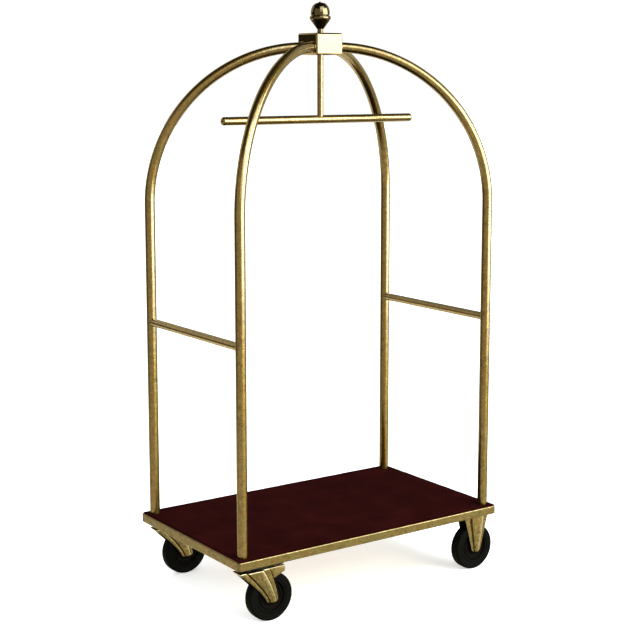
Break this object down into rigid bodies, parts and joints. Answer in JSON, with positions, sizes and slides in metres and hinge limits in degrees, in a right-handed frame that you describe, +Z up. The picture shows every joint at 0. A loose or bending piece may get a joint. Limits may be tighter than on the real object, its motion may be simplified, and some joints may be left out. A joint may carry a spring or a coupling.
{
  "type": "hotel luggage cart",
  "caption": "Birdcage luggage cart: carpeted deck with a brass edge, tubes arching to a crown block with an acorn finial, a garment bar, side bars, and swivel and rigid casters.",
  "frame": {"origin": "on the floor under the middle of the deck", "axes": "+Z up, +X along the deck's long side towards the rigid casters, +Y across the deck towards the back"},
  "size_m": [1.0075, 0.6, 1.845],
  "materials": {
    "brass": "aged, mottled, soft gloss",
    "carpet": "short dark red pile",
    "board": "plain plywood",
    "black_steel": "black paint",
    "bright_steel": "zinc plated",
    "rubber": "matte black",
    "wheel_core": "black moulded nylon"
  },
  "bodies": {
    "frame": {"arch_tube_left_front": "brass", "tube_plug_left_front": "bright_steel", "tube_bolt_left_front": "bright_steel", "arch_tube_left_back": "brass", "tube_plug_left_back": "bright_steel", "tube_bolt_left_back": "bright_steel", "arch_tube_right_front": "brass", "tube_plug_right_front": "bright_steel", "tube_bolt_right_front": "bright_steel", "arch_tube_right_back": "brass", "tube_plug_right_back": "bright_steel", "tube_bolt_right_back": "bright_steel", "deck_board": "board", "deck_carpet": "carpet", "edge_rail_front": "brass", "edge_rail_back": "brass", "edge_rail_left": "brass", "edge_rail_right": "brass", "mount_strap_left": "black_steel", "mount_strap_right": "black_steel", "crown_hub": "brass", "finial_stem": "brass", "finial_cup": "brass", "finial_cap": "brass", "hanger_rod": "brass", "hanger_bar": "brass", "bar_cap_left": "brass", "bar_cap_right": "brass", "side_bar_left": "brass", "side_bar_right": "brass", "swivel_plate_front": "black_steel", "swivel_race_front": "bright_steel", "kingpin_front": "bright_steel", "swivel_plate_back": "black_steel", "swivel_race_back": "bright_steel", "kingpin_back": "bright_steel", "rigid_fork_front": "brass", "rigid_axle_front": "brass", "rigid_fork_back": "brass", "rigid_axle_back": "brass"},
    "swivel_front": {"swivel_fork_front": "brass", "swivel_axle_front": "brass"},
    "swivel_back": {"swivel_fork_back": "brass", "swivel_axle_back": "brass"},
    "wheel_left_front": {"tyre_left_front": "rubber", "wheel_core_left_front": "wheel_core", "wheel_bush_left_front": "brass"},
    "wheel_left_back": {"tyre_left_back": "rubber", "wheel_core_left_back": "wheel_core", "wheel_bush_left_back": "brass"},
    "wheel_right_front": {"tyre_right_front": "rubber", "wheel_core_right_front": "wheel_core", "wheel_bush_right_front": "brass"},
    "wheel_right_back": {"tyre_right_back": "rubber", "wheel_core_right_back": "wheel_core", "wheel_bush_right_back": "brass"}
  },
  "joints": [
    {"name": "swivel_turn_front", "type": "hinge", "parent": "frame", "child": "swivel_front", "pos_m": [-0.4025, -0.255, 0.173], "axis": [0, 0, 1], "continuous": true},
    {"name": "swivel_turn_back", "type": "hinge", "parent": "frame", "child": "swivel_back", "pos_m": [-0.4025, 0.255, 0.173], "axis": [0, 0, 1], "continuous": true},
    {"name": "wheel_spin_left_front", "type": "hinge", "parent": "swivel_front", "child": "wheel_left_front", "pos_m": [-0.3685, -0.255, 0.075], "axis": [0, 1, 0], "continuous": true},
    {"name": "wheel_spin_left_back", "type": "hinge", "parent": "swivel_back", "child": "wheel_left_back", "pos_m": [-0.3685, 0.255, 0.075], "axis": [0, 1, 0], "continuous": true},
    {"name": "wheel_spin_right_front", "type": "hinge", "parent": "frame", "child": "wheel_right_front", "pos_m": [0.4325, -0.255, 0.075], "axis": [0, 1, 0], "continuous": true},
    {"name": "wheel_spin_right_back", "type": "hinge", "parent": "frame", "child": "wheel_right_back", "pos_m": [0.4325, 0.255, 0.075], "axis": [0, 1, 0], "continuous": true}
  ]
}
